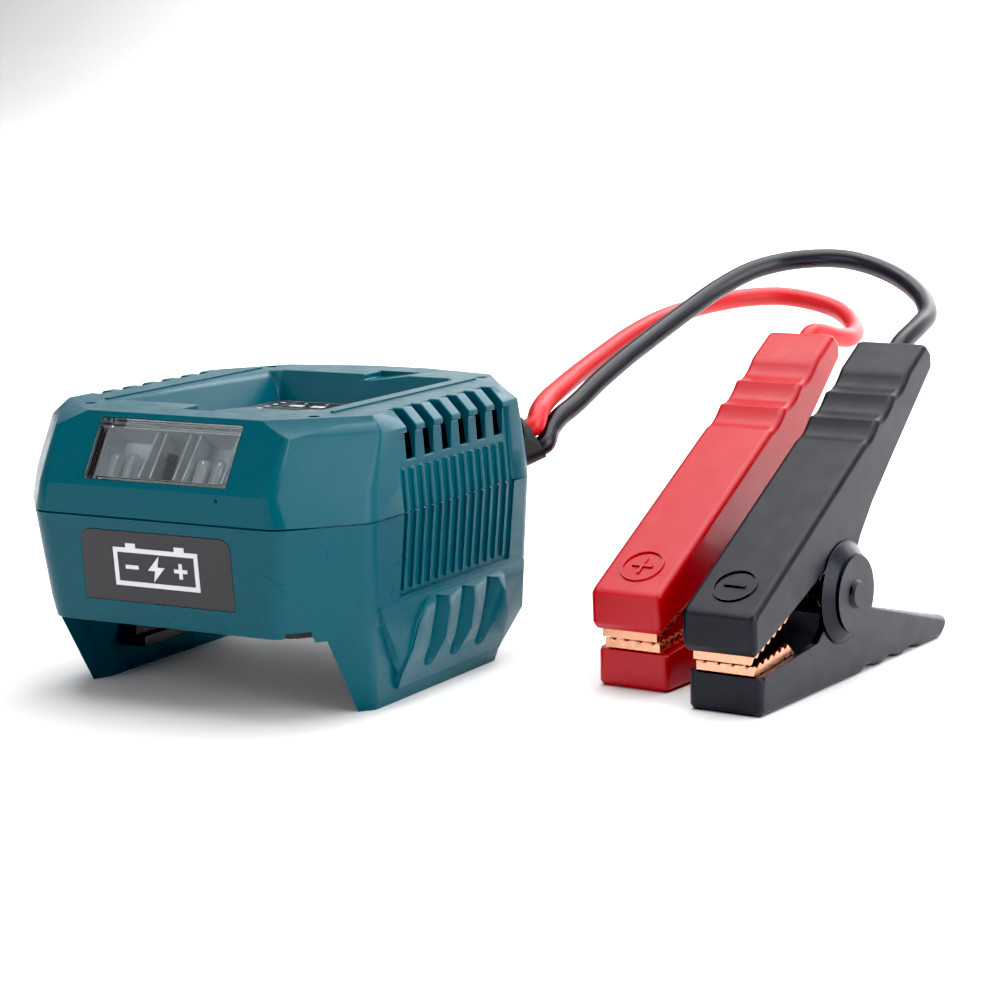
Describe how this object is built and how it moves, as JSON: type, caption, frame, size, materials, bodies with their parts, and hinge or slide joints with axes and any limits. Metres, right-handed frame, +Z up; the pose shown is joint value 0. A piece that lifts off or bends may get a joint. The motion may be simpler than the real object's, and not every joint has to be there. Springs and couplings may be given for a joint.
{
  "type": "jump starter pack",
  "caption": "Jump starter adapter: a housing that slides onto a tool battery, with a work light, vents and two battery clamps on short leads",
  "frame": {"origin": "Centre of the bounding box of the housing and the two clamps, without their leads, at the height of the ground they stand on.", "axes": "+Z is up. The housing's front, with the work light, faces -Y, and the clamps stand on its +X side with their jaws toward -Y."},
  "size_m": [0.1991, 0.2233, 0.1051],
  "materials": {
    "shell": "fine matte moulded texture",
    "black_plastic": "satin moulded",
    "red_plastic": "satin moulded",
    "rubber_black": "smooth matt",
    "rubber_red": "smooth matt",
    "lens": "clear polycarbonate, polished",
    "reflector": "metallised",
    "board": "solder-masked circuit board",
    "light_part": "clear moulded",
    "panel_dark": "printed overlay",
    "mark_white": "printed",
    "button_red": "smooth",
    "button_grey": "smooth",
    "status_red": "clear moulded",
    "relay_case": "satin",
    "alu": "extruded",
    "copper": "copper-plated, bright",
    "steel": "zinc plated",
    "dark_steel": "black oxide spring wire"
  },
  "bodies": {
    "housing": {"upper_shell": "shell", "lower_shell": "shell", "led_lens": "lens", "led_reflector": "reflector", "led_board": "board", "work_leds": "light_part", "front_label": "panel_dark", "label_mark": "mark_white", "control_panel": "panel_dark", "level_leds": "light_part", "status_led": "status_red", "button_switches": "steel", "main_board": "board", "power_relay": "relay_case", "heat_sink": "alu", "slide_plate": "black_plastic", "terminal_block": "black_plastic", "power_terminals": "copper", "board_screws": "steel", "plate_screws": "steel", "housing_screws": "steel", "rim_screws": "steel", "cable_gland": "rubber_black", "red_lead": "rubber_red", "black_lead": "rubber_black", "red_upper_cover": "red_plastic", "red_upper_jaw": "copper", "red_lead_lug": "copper", "red_pivot_pin": "steel", "red_pivot_discs": "red_plastic", "red_spring": "dark_steel", "black_upper_cover": "black_plastic", "black_upper_jaw": "copper", "black_lead_lug": "copper", "black_pivot_pin": "steel", "black_pivot_discs": "black_plastic", "black_spring": "dark_steel"},
    "boost_button": {"boost_button": "button_red"},
    "lamp_button": {"lamp_button": "button_grey"},
    "red_lower_arm": {"red_lower_cover": "red_plastic", "red_lower_jaw": "copper"},
    "black_lower_arm": {"black_lower_cover": "black_plastic", "black_lower_jaw": "copper"}
  },
  "joints": [
    {"name": "red_jaw_hinge", "type": "hinge", "parent": "housing", "child": "red_lower_arm", "pos_m": [0.05183, 0.02866, 0.024], "axis": [0.9969, -0.0785, 0], "range_deg": [0, 30], "stiffness_Nm_per_rad": 0.6, "springref_deg": -57.3, "deforming": ["red_spring"]},
    {"name": "black_jaw_hinge", "type": "hinge", "parent": "housing", "child": "black_lower_arm", "pos_m": [0.08433, 0.01506, 0.024], "axis": [0.9969, -0.0785, 0], "range_deg": [0, 30], "stiffness_Nm_per_rad": 0.6, "springref_deg": -57.3, "deforming": ["black_spring"]},
    {"name": "boost_press", "type": "slide", "parent": "housing", "child": "boost_button", "axis": [0, 0, -1], "range_m": [0, 0.0008], "stiffness_N_per_m": 100, "springref_m": -0.004},
    {"name": "lamp_press", "type": "slide", "parent": "housing", "child": "lamp_button", "axis": [0, 0, -1], "range_m": [0, 0.0008], "stiffness_N_per_m": 100, "springref_m": -0.004}
  ]
}
